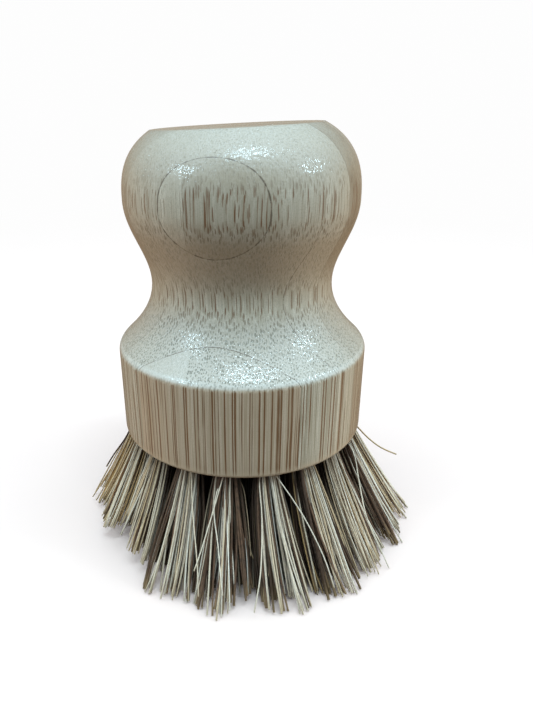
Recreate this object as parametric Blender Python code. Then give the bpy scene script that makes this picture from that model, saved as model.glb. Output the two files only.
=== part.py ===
"""A pot brush: a handle turned from glued bamboo boards, with folded tufts stapled into its base.

Frame: +Z is up, the tips of the bristles rest on z = 0, and the handle's axis is the Z axis.
The front of the brush faces -Y.
"""
import math

import bmesh
import bpy
from mathutils import Vector

MM = 0.001

# Handle. Each height is counted from the one named before it, upwards from the flat underside.
BASE_RADIUS = 26.0 * MM
SIDE_HEIGHT = 19.0 * MM
SIDE_TO_WAIST = 12.9 * MM
WAIST_TO_KNOB = 16.2 * MM
KNOB_TO_FLAT = 13.0 * MM
BASE_TO_WAIST = 7.6 * MM
BASE_TO_KNOB = 3.0 * MM
KNOB_TO_FLAT_EDGE = 6.7 * MM
UNDERSIDE_ROUND = 1.0 * MM
CREASE_ROUND = 1.1 * MM
CROWN_POWER = 2.57
FLAT_TILT = math.radians(2.55)
CROWN_LEAN_SHARE = 0.44
TURNING_STEPS = 40

# Boards that the handle is turned from. They stand upright and face a little left of the front.
# Turning leaves this much of the front and the back one at the rim, and the others share the rest.
BOARD_COUNT = 9
FRONT_BOARD_AT_RIM = 5.1 * MM
BACK_BOARD_AT_RIM = 4.2 * MM
GLUE_FILM = 0.1 * MM
BOARD_TURN = math.radians(12.7)

# Holes for the tufts: one in the centre and evenly spaced rings of six, twelve and eighteen.
RING_COUNT = 3
RIM_TO_OUTER_RING = 4.8 * MM
HOLE_WALL = 2.07 * MM
HOLE_DEPTH = 9.0 * MM
TUFTS_PER_RING_STEP = 6
TILT_PER_RING = math.radians(6.0)
RING_TURN = math.radians(12.0)
CUT_OVERRUN = 1.0 * MM

# Tufts: a bundle folded round its staple, round in the hole and fanned out below it.
BRISTLE_LENGTH = 23.5 * MM
BASE_TO_TIP_SPREAD = 11.0 * MM
TIP_LEAN = 1.0 * MM
TIP_ROUND = 1.6 * MM
TIP_FLAT_SHARE = 0.86
HOLE_CLEARANCE = 0.3 * MM
TUFT_GAP = 0.4 * MM
FAN_POWER = 0.8
STRAND_DEPTH_SHARE = 0.07
FOLD_END_SHARE = 0.85
FAN_LEVEL_SHARES = (0.0, 0.33, 0.66)
TUFT_SIDES = 10

# Staples of round wire.
WIRE_RADIUS = 0.4 * MM
WIRE_CLEARANCE = 0.3 * MM
LEG_TO_HOLE_WALL = 0.4 * MM
LEG_BEND = 0.8 * MM
LEG_IN_WOOD = 3.5 * MM
WIRE_SIDES = 6
BEND_STEPS = 2

KNOB_HEIGHT = SIDE_HEIGHT + SIDE_TO_WAIST + WAIST_TO_KNOB
HANDLE_HEIGHT = KNOB_HEIGHT + KNOB_TO_FLAT
WAIST_RADIUS = BASE_RADIUS - BASE_TO_WAIST
KNOB_RADIUS = BASE_RADIUS - BASE_TO_KNOB
FLAT_RADIUS = KNOB_RADIUS - KNOB_TO_FLAT_EDGE
FRONT_GLUE_LINE = BASE_RADIUS - FRONT_BOARD_AT_RIM
BACK_GLUE_LINE = BACK_BOARD_AT_RIM - BASE_RADIUS
RING_STEP = (BASE_RADIUS - RIM_TO_OUTER_RING) / RING_COUNT
TIP_STEP = 2 * (BASE_RADIUS + BASE_TO_TIP_SPREAD) / (2 * RING_COUNT + 1)
HOLE_RADIUS = (RING_STEP - HOLE_WALL) / 2
BUNDLE_RADIUS = HOLE_RADIUS - HOLE_CLEARANCE
EYE_RADIUS = WIRE_RADIUS + WIRE_CLEARANCE
HALF_LEG_SPACING = HOLE_RADIUS - LEG_TO_HOLE_WALL - WIRE_RADIUS
FOLD_HALF_WIDTH = HALF_LEG_SPACING - WIRE_RADIUS - WIRE_CLEARANCE
UP = Vector((0.0, 0.0, 1.0))


def clear_scene():
    for old in list(bpy.data.objects):
        bpy.data.objects.remove(old, do_unlink=True)


def material(name, colour, roughness, metallic=0.0):
    finish = bpy.data.materials.new(name)
    finish.use_nodes = True
    shader = finish.node_tree.nodes["Principled BSDF"]
    shader.inputs["Base Color"].default_value = (*colour, 1.0)
    shader.inputs["Roughness"].default_value = roughness
    shader.inputs["Metallic"].default_value = metallic
    return finish


def add_object(name, bm, finish):
    """Put a finished bmesh into the scene as one object."""
    bmesh.ops.recalc_face_normals(bm, faces=bm.faces)
    mesh = bpy.data.meshes.new(name)
    bm.to_mesh(mesh)
    bm.free()
    mesh.materials.append(finish)
    mesh.shade_smooth()
    mesh.set_sharp_from_angle(angle=math.radians(35.0))
    item = bpy.data.objects.new(name, mesh)
    bpy.context.scene.collection.objects.link(item)
    return item


def shares_of_one(steps):
    return [step / steps for step in range(steps + 1)]


def ring_faces(bm, rings):
    """Skin a stack of rings of vertices, and close both its ends."""
    sides = len(rings[0])
    for low, high in zip(rings, rings[1:]):
        for side in range(sides):
            after = (side + 1) % sides
            bm.faces.new((low[side], low[after], high[after], high[side]))
    bm.faces.new(rings[0])
    bm.faces.new(rings[-1])


# Handle profile, as (radius, height above the underside).

def underside_arc():
    corner = []
    for share in shares_of_one(2):
        angle = share * math.pi / 2
        radius = BASE_RADIUS - UNDERSIDE_ROUND * (1 - math.sin(angle))
        corner.append((radius, UNDERSIDE_ROUND * (1 - math.cos(angle))))
    return corner


def cove_radius(height):
    """The shoulder sweeps in from the crease to the waist along a parabola."""
    share = (SIDE_HEIGHT + SIDE_TO_WAIST - height) / SIDE_TO_WAIST
    return WAIST_RADIUS + (BASE_RADIUS - WAIST_RADIUS) * share ** 2


def crease_curve():
    """The soft edge between the upright side and the shoulder."""
    side_end = Vector((BASE_RADIUS, SIDE_HEIGHT - CREASE_ROUND))
    corner = Vector((BASE_RADIUS, SIDE_HEIGHT))
    cove_height = SIDE_HEIGHT + CREASE_ROUND
    cove_start = Vector((cove_radius(cove_height), cove_height))
    curve = []
    for share in shares_of_one(3):
        point = side_end * (1 - share) ** 2 + corner * 2 * share * (1 - share) + cove_start * share ** 2
        curve.append((point.x, point.y))
    return curve


def cove_curve():
    start = SIDE_HEIGHT + CREASE_ROUND
    rise = SIDE_TO_WAIST - CREASE_ROUND
    heights = [start + rise * share for share in shares_of_one(4)[1:]]
    return [(cove_radius(height), height) for height in heights]


def swell_curve():
    """Half a cosine wave from the waist out to the widest part of the knob."""
    start = SIDE_HEIGHT + SIDE_TO_WAIST
    curve = []
    for share in shares_of_one(5)[1:]:
        swell = (1 - math.cos(math.pi * share)) / 2
        radius = WAIST_RADIUS + (KNOB_RADIUS - WAIST_RADIUS) * swell
        curve.append((radius, start + WAIST_TO_KNOB * share))
    return curve


def crown_curve():
    """A squared ellipse from the knob's widest part, carried on a little past the flat."""
    flat_share = FLAT_RADIUS / KNOB_RADIUS
    crown_rise = KNOB_TO_FLAT / (1 - flat_share ** CROWN_POWER) ** (1 / CROWN_POWER)
    reach = KNOB_TO_FLAT + 2 * FLAT_RADIUS * math.tan(FLAT_TILT)
    curve = []
    for share in shares_of_one(7)[1:]:
        height = reach * math.sin(share * math.pi / 2)
        left = max(0.0, 1 - (height / crown_rise) ** CROWN_POWER)
        curve.append((KNOB_RADIUS * left ** (1 / CROWN_POWER), KNOB_HEIGHT + height))
    return curve


def turned_handle():
    """The whole block as turned, flat-topped, before it is parted at the glue lines."""
    profile = underside_arc() + crease_curve() + cove_curve() + swell_curve() + crown_curve()
    bm = bmesh.new()
    rings = []
    for radius, height in profile:
        crown_share = max(0.0, height - KNOB_HEIGHT) / KNOB_TO_FLAT
        lean = crown_share * CROWN_LEAN_SHARE * math.tan(FLAT_TILT)
        ring = []
        for step in range(TURNING_STEPS):
            angle = 2 * math.pi * step / TURNING_STEPS
            across = radius * math.cos(angle)
            place = (across, radius * math.sin(angle), BRISTLE_LENGTH + height + across * lean)
            ring.append(bm.verts.new(place))
        rings.append(ring)
    ring_faces(bm, rings)
    bmesh.ops.recalc_face_normals(bm, faces=bm.faces)
    flat_normal = Vector((-math.sin(FLAT_TILT), 0.0, math.cos(FLAT_TILT)))
    cut_and_close(bm, UP * (BRISTLE_LENGTH + HANDLE_HEIGHT), flat_normal)
    return bm


def cut_and_close(bm, point, normal):
    """Keep what lies behind a plane, and close the cut."""
    everything = bm.verts[:] + bm.edges[:] + bm.faces[:]
    bmesh.ops.bisect_plane(bm, geom=everything, plane_co=point, plane_no=normal, clear_outer=True)
    rim = [edge for edge in bm.edges if edge.is_boundary]
    bmesh.ops.holes_fill(bm, edges=rim, sides=0)


def split_islands(bm):
    """Part a bmesh into one bmesh for each loose piece, the highest first."""
    left = set(bm.verts)
    pieces = []
    while left:
        reached = {left.pop()}
        edge_of_reach = list(reached)
        while edge_of_reach:
            vert = edge_of_reach.pop()
            for edge in vert.link_edges:
                other = edge.other_vert(vert)
                if other not in reached:
                    reached.add(other)
                    edge_of_reach.append(other)
        left -= reached
        piece = bm.copy()
        bm.verts.index_update()
        kept = {vert.index for vert in reached}
        piece.verts.ensure_lookup_table()
        unwanted = [vert for vert in piece.verts if vert.index not in kept]
        bmesh.ops.delete(piece, geom=unwanted, context="VERTS")
        pieces.append(piece)
    pieces.sort(key=lambda piece: -max(vert.co.z for vert in piece.verts))
    bm.free()
    return pieces


def board_faces():
    """The front and back distance of each board from the axis, front board first."""
    front = BASE_RADIUS + CUT_OVERRUN
    spans = []
    for share in shares_of_one(BOARD_COUNT - 2):
        line = FRONT_GLUE_LINE + (BACK_GLUE_LINE - FRONT_GLUE_LINE) * share
        spans.append((front, line + GLUE_FILM / 2))
        front = line - GLUE_FILM / 2
    spans.append((front, -BASE_RADIUS - CUT_OVERRUN))
    return spans


def build_boards(finish):
    """Part the turned block at each glue line. A board that the waist cuts through is two pieces."""
    facing = Vector((-math.sin(BOARD_TURN), -math.cos(BOARD_TURN), 0.0))
    block = turned_handle()
    boards = []
    for number, (front, back) in enumerate(board_faces(), start=1):
        board = block.copy()
        cut_and_close(board, facing * front, facing)
        cut_and_close(board, facing * back, -facing)
        pieces = split_islands(board)
        endings = ("_knob", "_base") if len(pieces) == 2 else ("",)
        for piece, ending in zip(pieces, endings):
            boards.append(add_object(f"bamboo_board_{number}{ending}", piece, finish))
    block.free()
    return boards


# Tuft layout.

class TuftPlace:
    """Where one tuft sits: its hole's mouth and lean, and the patch that its tips cover."""

    def __init__(self, name, ring, angle, wedge):
        outward = Vector((math.sin(angle), -math.cos(angle), 0.0))
        tilt = ring * TILT_PER_RING
        self.name = name
        self.ring = ring
        self.outward = outward
        self.across = outward.cross(UP)
        self.axis = outward * math.sin(tilt) - UP * math.cos(tilt)
        self.side = outward * math.cos(tilt) + UP * math.sin(tilt)
        self.mouth = outward * (RING_STEP * ring) + UP * BRISTLE_LENGTH
        self.bottom = self.mouth - self.axis * HOLE_DEPTH
        self.crown = self.bottom + self.axis * (HOLE_CLEARANCE + BUNDLE_RADIUS)
        self.tip = outward * (TIP_STEP * ring) + Vector((TIP_LEAN, 0.0, 0.0))
        self.tip_half_depth = (TIP_STEP - TUFT_GAP) / 2
        self.tip_half_width = self.tip_half_depth
        if ring:
            reach = TIP_STEP * ring * math.sin(wedge / 2) - TUFT_GAP / 2
            slack = reach ** 2 - (self.tip_half_depth * math.sin(wedge / 2)) ** 2
            self.tip_half_width = math.sqrt(slack) / math.cos(wedge / 2)


def tuft_places():
    """One tuft in the centre, and rings of six more tufts each time round it."""
    places = [TuftPlace("centre", 0, 0.0, 0.0)]
    for ring in range(1, RING_COUNT + 1):
        count = TUFTS_PER_RING_STEP * ring
        for number in range(count):
            angle = RING_TURN + 2 * math.pi * number / count
            name = f"ring_{ring}_{number + 1:02d}"
            places.append(TuftPlace(name, ring, angle, 2 * math.pi / count))
    return places


def stapled_places(places):
    """The places whose staples are modelled. The outer rings are stapled in the same way."""
    return [place for place in places if place.ring <= 1]


# Holes.

def add_cylinder(bm, start, end, radius, sides, side, across):
    """A prism whose flats lie at the radius, so that a like-sided prism fits it evenly."""
    corner_radius = radius / math.cos(math.pi / sides)
    rings = []
    for centre in (start, end):
        ring = []
        for step in range(sides):
            angle = 2 * math.pi * step / sides
            place = centre + (side * math.cos(angle) + across * math.sin(angle)) * corner_radius
            ring.append(bm.verts.new(place))
        rings.append(ring)
    ring_faces(bm, rings)


def hole_cutter(places, finish):
    bm = bmesh.new()
    for place in places:
        start = place.mouth + place.axis * CUT_OVERRUN
        add_cylinder(bm, start, place.bottom, HOLE_RADIUS, TUFT_SIDES, place.side, place.across)
    return hidden_cutter("hole_cutter", bm, finish)


def pocket_cutter(places, finish):
    """The slits that the staple's legs open in the wood under each hole."""
    bm = bmesh.new()
    depth = LEG_IN_WOOD + WIRE_CLEARANCE
    for place in places:
        for sign in (-1, 1):
            mouth = place.bottom + place.across * (sign * HALF_LEG_SPACING)
            start = mouth + place.axis * HOLE_CLEARANCE
            add_cylinder(bm, start, mouth - place.axis * depth, EYE_RADIUS, WIRE_SIDES,
                         place.side, place.across)
    return hidden_cutter("pocket_cutter", bm, finish)


def hidden_cutter(name, bm, finish):
    cutter = add_object(name, bm, finish)
    cutter.hide_render = True
    cutter.display_type = "WIRE"
    return cutter


def bore_boards(boards, cutters):
    for board in boards:
        for cutter in cutters:
            cut = board.modifiers.new(cutter.name, "BOOLEAN")
            cut.operation = "DIFFERENCE"
            cut.object = cutter


# Tufts.

def oval_ring(bm, centre, half_depth, half_width, side, across, strand_depth=0.0):
    """A ring of vertices on an oval, every other one drawn in to mark the strands."""
    ring = []
    for step in range(TUFT_SIDES):
        angle = 2 * math.pi * step / TUFT_SIDES
        inset = 1 - strand_depth * (step % 2)
        offset = side * (half_depth * math.cos(angle)) + across * (half_width * math.sin(angle))
        ring.append(bm.verts.new(centre + offset * inset))
    return ring


def fold_rings(bm, place):
    """The folded end of the bundle, thin enough to pass between the staple's legs."""
    end_depth = BUNDLE_RADIUS * math.sqrt(1 - FOLD_END_SHARE ** 2)
    end = place.crown - place.axis * (BUNDLE_RADIUS * FOLD_END_SHARE)
    top_of_fold = place.crown + place.axis * EYE_RADIUS
    full = top_of_fold + place.axis * (BUNDLE_RADIUS - FOLD_HALF_WIDTH) / 2
    levels = (
        (end, end_depth, FOLD_HALF_WIDTH),
        (place.crown - place.axis * EYE_RADIUS, BUNDLE_RADIUS, FOLD_HALF_WIDTH),
        (top_of_fold, BUNDLE_RADIUS, FOLD_HALF_WIDTH),
        (full, BUNDLE_RADIUS, BUNDLE_RADIUS),
    )
    return [oval_ring(bm, centre, depth, width, place.side, place.across)
            for centre, depth, width in levels]


def fan_rings(bm, place):
    """The free bundle, from the hole's mouth out to its worn, rounded tips."""
    control = place.mouth + place.axis * (BRISTLE_LENGTH / 2)
    rings = []
    for share in FAN_LEVEL_SHARES + (1 - TIP_ROUND / BRISTLE_LENGTH,):
        start = place.mouth * (1 - share) ** 2
        centre = start + control * (2 * share * (1 - share)) + place.tip * share ** 2
        spread = share ** FAN_POWER
        half_depth = BUNDLE_RADIUS + (place.tip_half_depth - BUNDLE_RADIUS) * spread
        half_width = BUNDLE_RADIUS + (place.tip_half_width - BUNDLE_RADIUS) * spread
        side = place.side.lerp(place.outward, share).normalized()
        depth_share = STRAND_DEPTH_SHARE * share
        rings.append(oval_ring(bm, centre, half_depth, half_width, side, place.across, depth_share))
    half_depth = place.tip_half_depth * TIP_FLAT_SHARE
    half_width = place.tip_half_width * TIP_FLAT_SHARE
    rings.append(oval_ring(bm, place.tip, half_depth, half_width, place.outward, place.across,
                           STRAND_DEPTH_SHARE))
    return rings


def build_tuft(place, finish):
    bm = bmesh.new()
    ring_faces(bm, fold_rings(bm, place) + fan_rings(bm, place))
    return add_object(f"tuft_{place.name}", bm, finish)


def cut_eye(place, tuft, finish):
    """Open the fold of a bundle for the crown of its staple."""
    bm = bmesh.new()
    reach = place.across * (FOLD_HALF_WIDTH + CUT_OVERRUN)
    add_cylinder(bm, place.crown - reach, place.crown + reach, EYE_RADIUS, WIRE_SIDES,
                 place.side, place.axis)
    cut = tuft.modifiers.new("eye", "BOOLEAN")
    cut.operation = "DIFFERENCE"
    cut.object = hidden_cutter(f"eye_cutter_{place.name}", bm, finish)


# Staples.

def staple_path(place):
    """The wire's centre line: up one leg, round the crown and down the other."""
    leg = HOLE_CLEARANCE + BUNDLE_RADIUS + LEG_IN_WOOD
    bend = []
    for share in shares_of_one(BEND_STEPS):
        angle = share * math.pi / 2
        along = HALF_LEG_SPACING - LEG_BEND * (1 - math.cos(angle))
        bend.append((along, LEG_BEND * (math.sin(angle) - 1)))
    first = [(-HALF_LEG_SPACING, -leg)] + [(-along, out) for along, out in bend]
    second = list(reversed(bend)) + [(HALF_LEG_SPACING, -leg)]
    return [place.crown + place.across * along + place.axis * out for along, out in first + second]


def build_staple(place, finish):
    path = staple_path(place)
    bm = bmesh.new()
    rings = []
    for index, centre in enumerate(path):
        before = path[max(index - 1, 0)]
        after = path[min(index + 1, len(path) - 1)]
        across = (after - before).normalized().cross(place.side)
        ring = []
        for step in range(WIRE_SIDES):
            angle = 2 * math.pi * step / WIRE_SIDES
            offset = place.side * math.cos(angle) + across * math.sin(angle)
            ring.append(bm.verts.new(centre + offset * WIRE_RADIUS))
        rings.append(ring)
    ring_faces(bm, rings)
    return add_object(f"staple_{place.name}", bm, finish)


def build():
    clear_scene()
    bamboo = material("bamboo", (0.62, 0.50, 0.36), 0.3)
    fibre = material("fibre", (0.42, 0.33, 0.22), 0.8)
    wire = material("wire", (0.62, 0.60, 0.56), 0.35, metallic=1.0)
    guide = material("guide", (0.8, 0.1, 0.1), 0.5)
    places = tuft_places()
    stapled = stapled_places(places)
    boards = build_boards(bamboo)
    bore_boards(boards, (hole_cutter(places, guide), pocket_cutter(stapled, guide)))
    tufts = {place.name: build_tuft(place, fibre) for place in places}
    for place in stapled:
        cut_eye(place, tufts[place.name], guide)
        build_staple(place, wire)


build()
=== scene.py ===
"""Looks of the pot brush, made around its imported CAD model.

Frame: +Z is up, the bristles' tips rest on z = 0, the handle's axis is the Z axis and the front faces -Y.
"""
import random
from math import cos, hypot, pi, radians, sin, sqrt, tan

import bmesh
import bpy
import numpy as np
from mathutils import Matrix, Vector


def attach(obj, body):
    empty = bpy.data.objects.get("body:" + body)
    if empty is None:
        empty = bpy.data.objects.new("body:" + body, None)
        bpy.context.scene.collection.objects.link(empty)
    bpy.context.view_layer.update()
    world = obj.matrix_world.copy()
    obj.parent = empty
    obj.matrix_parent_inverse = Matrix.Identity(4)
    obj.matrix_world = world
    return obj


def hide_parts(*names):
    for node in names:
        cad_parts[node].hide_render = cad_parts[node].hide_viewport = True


MM = 0.001
UP = Vector((0.0, 0.0, 1.0))
BACK = Vector((0.0, 1.0, 0.0))

# Handle, as in the CAD. Each height is counted from the one named before it, up from the underside.
BASE_RADIUS = 26.0 * MM
SIDE_HEIGHT = 19.0 * MM
SIDE_TO_WAIST = 12.9 * MM
WAIST_TO_KNOB = 16.2 * MM
KNOB_TO_FLAT = 13.0 * MM
BASE_TO_WAIST = 7.6 * MM
BASE_TO_KNOB = 3.0 * MM
KNOB_TO_FLAT_EDGE = 6.7 * MM
UNDERSIDE_ROUND = 1.0 * MM
CREASE_ROUND = 1.1 * MM
CROWN_POWER = 2.57
FLAT_TILT = radians(2.55)
CROWN_LEAN_SHARE = 0.44
FLAT_EDGE_ROUND = 0.35 * MM

# How finely the handle is made.
TURNING_STEPS = 240
UNDERSIDE_STEPS = 6
SIDE_STEPS = 6
CREASE_STEPS = 10
SHOULDER_STEPS = 18
SWELL_STEPS = 24
CROWN_STEPS = 36
FLAT_EDGE_STEPS = 4
WOOD_SHARP_ANGLE = radians(28.0)
SNAP = 0.001 * MM

# Boards, as in the CAD, but with a much thinner film of glue between them.
BOARD_COUNT = 9
FRONT_BOARD_AT_RIM = 5.1 * MM
BACK_BOARD_AT_RIM = 4.2 * MM
GLUE_FILM = 0.005 * MM
BOARD_TURN = radians(12.7)

# Holes, as in the CAD.
RING_COUNT = 3
RIM_TO_OUTER_RING = 4.8 * MM
HOLE_WALL = 2.07 * MM
HOLE_DEPTH = 9.0 * MM
TUFTS_PER_RING_STEP = 6
TILT_PER_RING = radians(6.0)
RING_TURN = radians(12.0)
HOLE_SIDES = 28
CUT_OVERRUN = 1.0 * MM

# Bundles of fibre and their staples, as in the CAD.
BRISTLE_LENGTH = 23.5 * MM
BASE_TO_TIP_SPREAD = 11.0 * MM
TIP_LEAN = 1.0 * MM
HOLE_CLEARANCE = 0.3 * MM
FAN_POWER = 0.8
WIRE_RADIUS = 0.4 * MM
WIRE_CLEARANCE = 0.3 * MM
LEG_TO_HOLE_WALL = 0.4 * MM
LEG_BEND = 0.8 * MM
LEG_IN_WOOD = 3.5 * MM
WIRE_SIDES = 12
BEND_STEPS = 5
WIRE_SHARP_ANGLE = radians(35.0)

WAIST_RADIUS = BASE_RADIUS - BASE_TO_WAIST
KNOB_RADIUS = BASE_RADIUS - BASE_TO_KNOB
WAIST_HEIGHT = SIDE_HEIGHT + SIDE_TO_WAIST
KNOB_HEIGHT = WAIST_HEIGHT + WAIST_TO_KNOB
HANDLE_HEIGHT = KNOB_HEIGHT + KNOB_TO_FLAT
FLAT_RADIUS = KNOB_RADIUS - KNOB_TO_FLAT_EDGE
FRONT_GLUE_LINE = BASE_RADIUS - FRONT_BOARD_AT_RIM
BACK_GLUE_LINE = BACK_BOARD_AT_RIM - BASE_RADIUS
BOARD_STEP = (FRONT_GLUE_LINE - BACK_GLUE_LINE) / (BOARD_COUNT - 2)
RING_STEP = (BASE_RADIUS - RIM_TO_OUTER_RING) / RING_COUNT
TIP_STEP = 2 * (BASE_RADIUS + BASE_TO_TIP_SPREAD) / (2 * RING_COUNT + 1)
HOLE_RADIUS = (RING_STEP - HOLE_WALL) / 2
BUNDLE_RADIUS = HOLE_RADIUS - HOLE_CLEARANCE
HALF_LEG_SPACING = HOLE_RADIUS - LEG_TO_HOLE_WALL - WIRE_RADIUS
FOLD_HALF_WIDTH = HALF_LEG_SPACING - WIRE_RADIUS - WIRE_CLEARANCE
CROWN_TO_MOUTH = HOLE_DEPTH - HOLE_CLEARANCE - BUNDLE_RADIUS

# Single fibres.
FOLDED_FIBRES = 64
CLUMPS = 7
FIBRE_SIDES = 6
FREE_STEPS = 8
FOLD_STEPS = 4
STRAY_STEPS = 4
FIBRE_SHARP_ANGLE = radians(61.0)
PALE_RADIUS = 0.13 * MM
BROWN_RADIUS = 0.21 * MM
RADIUS_SPREAD_SHARE = 0.2
LOWEST_TIP = 0.15 * MM
CLUMP_RAGGED = 1.1 * MM
TIP_RAGGED = 0.3 * MM
FIRST_SEED = 1000

# How the fibres of a tuft differ. Places are shares of the tuft's half depth and half width, and tip
# shares hold how far a tip strays from its place and how far out it may stand.
CLUMP_SHIFT_SHARES = (0.12, 0.16)
OWN_PLACE_SHARE = 0.65
CLUMP_PLACE_SHARE = 0.45
CLUMP_TONE_SHARE = 0.35
BAND_DARKER_SHARE = 0.25
ODD_SHARE = 0.08
ODD_PER_BROWN_SHARE = 0.8
STRAYING_SHARE = 0.14
USUAL_TIP_SHARES = (0.09, 1.04)
STRAY_TIP_SHARES = (0.4, 1.12)
BOW_SHARE = 0.07
BROKEN_SHARE = 0.05
BROKEN_OFF_SHARES = (0.03, 0.2)
MOST_MISSING_SHARE = 0.35
# Brown share for the centre and rings 1 to 3; the inner tufts' larger shares are painted shade inside the
# brush.
RING_BROWN_SHARES = (0.5, 0.5, 0.7, 0.35)
# The most painted shade on the near half of a fibre in the outer ring.
OUTER_PAINTED_SHADE_SHARE = 0.8

# Camera, fitted to the photograph's outline.
PHOTO_WIDTH = 533
PHOTO_HEIGHT = 708
AXIS_COLUMN = 242.19
FOCAL_PIXELS = 575
SENSOR = 36.0
CAMERA_TO_AXIS = 115.55 * MM
CAMERA_HEIGHT = 87.43 * MM
CAMERA_PITCH = radians(23.15)
CAMERA_ROLL = radians(-0.25)
CAMERA_NEAR = 10.0 * MM


def shares_of_one(steps):
    return [step / steps for step in range(steps + 1)]


def outward_at(angle):
    """The level direction at an angle from the front, counted to the right."""
    return Vector((sin(angle), -cos(angle), 0.0))


# Node helpers.

class Nodes:
    """A new material or world, with short calls for the nodes that it uses."""

    def __init__(self, name, world=False):
        self.owner = (bpy.data.worlds if world else bpy.data.materials).new(name)
        self.owner.use_nodes = True
        self.tree = self.owner.node_tree
        self.shader = self.tree.nodes.get("Principled BSDF")

    def link(self, source, socket):
        if isinstance(source, bpy.types.NodeSocket):
            self.tree.links.new(source, socket)
        else:
            socket.default_value = source

    def add(self, kind, *values, **settings):
        """A node with these settings, and with these values in its first inputs."""
        node = self.tree.nodes.new(f"ShaderNode{kind}")
        for key, value in settings.items():
            setattr(node, key, value)
        for socket, value in zip(node.inputs, values):
            self.link(value, socket)
        return node

    def fill(self, node, entries):
        """Set or link a node's inputs by their names."""
        for name, value in entries.items():
            self.link(value, node.inputs[name])
        return node.outputs

    def object_place(self):
        return self.add("TexCoord").outputs["Object"]

    def math(self, operation, *values):
        return self.add("Math", *values, operation=operation).outputs[0]

    def product(self, first, *others):
        for other in others:
            first = self.math("MULTIPLY", first, other)
        return first

    def less(self, share, zone):
        """1 away from a zone, and 1 less share inside it."""
        return self.math("MULTIPLY_ADD", zone, -share, 1.0)

    def ramp(self, value, low, high, start=0.0, end=1.0):
        """value, taken smoothly from low..high to start..end."""
        node = self.add("MapRange", value, low, high, start, end, interpolation_type="SMOOTHSTEP")
        return node.outputs[0]

    def between(self, value, rise, fall):
        """1 past rise and short of fall, and 0 elsewhere, with a smooth change over each of them."""
        inside = self.ramp(value, *rise) if rise else 1.0
        if fall:
            inside = self.product(inside, self.ramp(value, *fall, 1.0, 0.0))
        return inside

    def mix(self, share, first, second):
        """A colour between two, by share."""
        node = self.add("Mix", data_type="RGBA")
        inputs = {socket.identifier: socket for socket in node.inputs}
        for name, item in (("Factor_Float", share), ("A_Color", first), ("B_Color", second)):
            self.link((*item, 1.0) if isinstance(item, tuple) else item, inputs[name])
        return next(socket for socket in node.outputs if socket.identifier == "Result_Color")

    def tint(self, share, colour):
        """Lay a colour over the one that is there."""
        self.colour = self.mix(share, self.colour, colour)

    def mapped(self, vector, scale=(1.0, 1.0, 1.0), turn=0.0, shift=(0.0, 0.0, 0.0)):
        return self.add("Mapping", vector, shift, (0.0, 0.0, turn), scale).outputs[0]

    def noise(self, vector, scale, detail, roughness=0.5):
        entries = {"Vector": vector, "Scale": scale, "Detail": detail, "Roughness": roughness}
        return self.fill(self.add("TexNoise"), entries)

    def marks(self, vector, across, along, detail, roughness=0.5):
        """Noise with so many marks to one unit across the Z axis, and so many along it."""
        return self.noise(self.mapped(vector, scale=(across, across, along)), 1.0, detail, roughness)

    def pattern(self, vector, marks, ramp):
        return self.ramp(self.marks(vector, *marks)[0], *ramp)

    def vector(self, operation, *values):
        outputs = self.add("VectorMath", *values, operation=operation).outputs
        return outputs["Value" if operation in ("DOT_PRODUCT", "LENGTH") else "Vector"]

    def parts(self, vector):
        return self.add("SeparateXYZ", vector).outputs

    def bump(self, height, depth):
        return self.fill(self.add("Bump"), {"Height": height, "Distance": depth})[0]

    def surface(self, shader):
        self.link(shader, self.tree.nodes["Material Output"].inputs["Surface"])


# Finishes. RAMP ends the name of the two values that something changes between and, where it isn't 0
# and 1, what it becomes there. MARKS ends that of the number of marks in a millimetre across and along
# the grain, their detail, and their roughness where it isn't a half. PATTERN ends that of both.

# Zones of the handle, by height in millimetres above the underside: where each comes in, where it goes
# out, its tint and how strong that is, and how much of the grain it hides.
ZONES = {
    "crown": ((50.5, 54.5), None, (0.45, 0.33, 0.21), 0.42, 0.82),
    # Painted shade: a darker, browner band under the knob.
    "under the knob": ((31.0, 38.0), (42.0, 45.0), (0.45, 0.31, 0.18), 0.35, 0.55),
    # Painted warm light: a smooth tan band on the eased lower rim.
    "lower rim": (None, (0.5, 2.2), (0.68, 0.49, 0.32), 0.75, 0.8),
    # Painted highlight: a pale band along the crease.
    "crease": ((18.4, 18.9), (19.2, 19.8), (0.92, 0.86, 0.76), 0.35, 0.5),
}
SIDE_RAMP = (18.0, 19.5, 1.0, 0.0)
KNOB_RAMP = (30.0, 42.0)
WAIST_ZONE = ((21.0, 24.0), (38.0, 42.0))
TAN_AND_SHADE_HEIGHT_RAMP = (32.0, 42.0, 0.2, 1.0)

# Each board is two strips side by side. Where they meet, in millimetres to the right of the axis, and
# then for the left strip and the right one how tan they are and how thickly they are dotted.
# The tan is partly the strips' own tone, partly painted shade at the knob's right edge and the waist's left.
STRIPS = {
    1: (-4.8, (0.0, 0.15), (0.35, 1.0)),
    2: (-6.5, (0.15, 0.95), (0.2, 0.9)),
    3: (6.0, (0.5, 0.75), (0.15, 0.9)),
    4: (-3.0, (0.4, 0.9), (1.0, 0.9)),
    5: (9.0, (0.3, 1.0), (0.3, 0.6)),
    6: (-8.0, (0.1, 0.5), (0.4, 0.9)),
    7: (4.0, (0.5, 0.8), (0.2, 0.6)),
    8: (-6.0, (0.2, 0.4), (0.5, 1.0)),
    9: (7.0, (0.3, 0.8), (0.1, 0.4)),
}
HALF_STRIP_JOINT = 0.05
SIDE_DOTTED = 0.7

# How much painted warm shade browns the cut side of the base, where a board differs from the others.
SIDE_PAINTED_WARM_SHADE = {2: 0.0, 3: 0.05, 4: 0.3}
USUAL_SIDE_PAINTED_WARM_SHADE = 0.5

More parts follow.
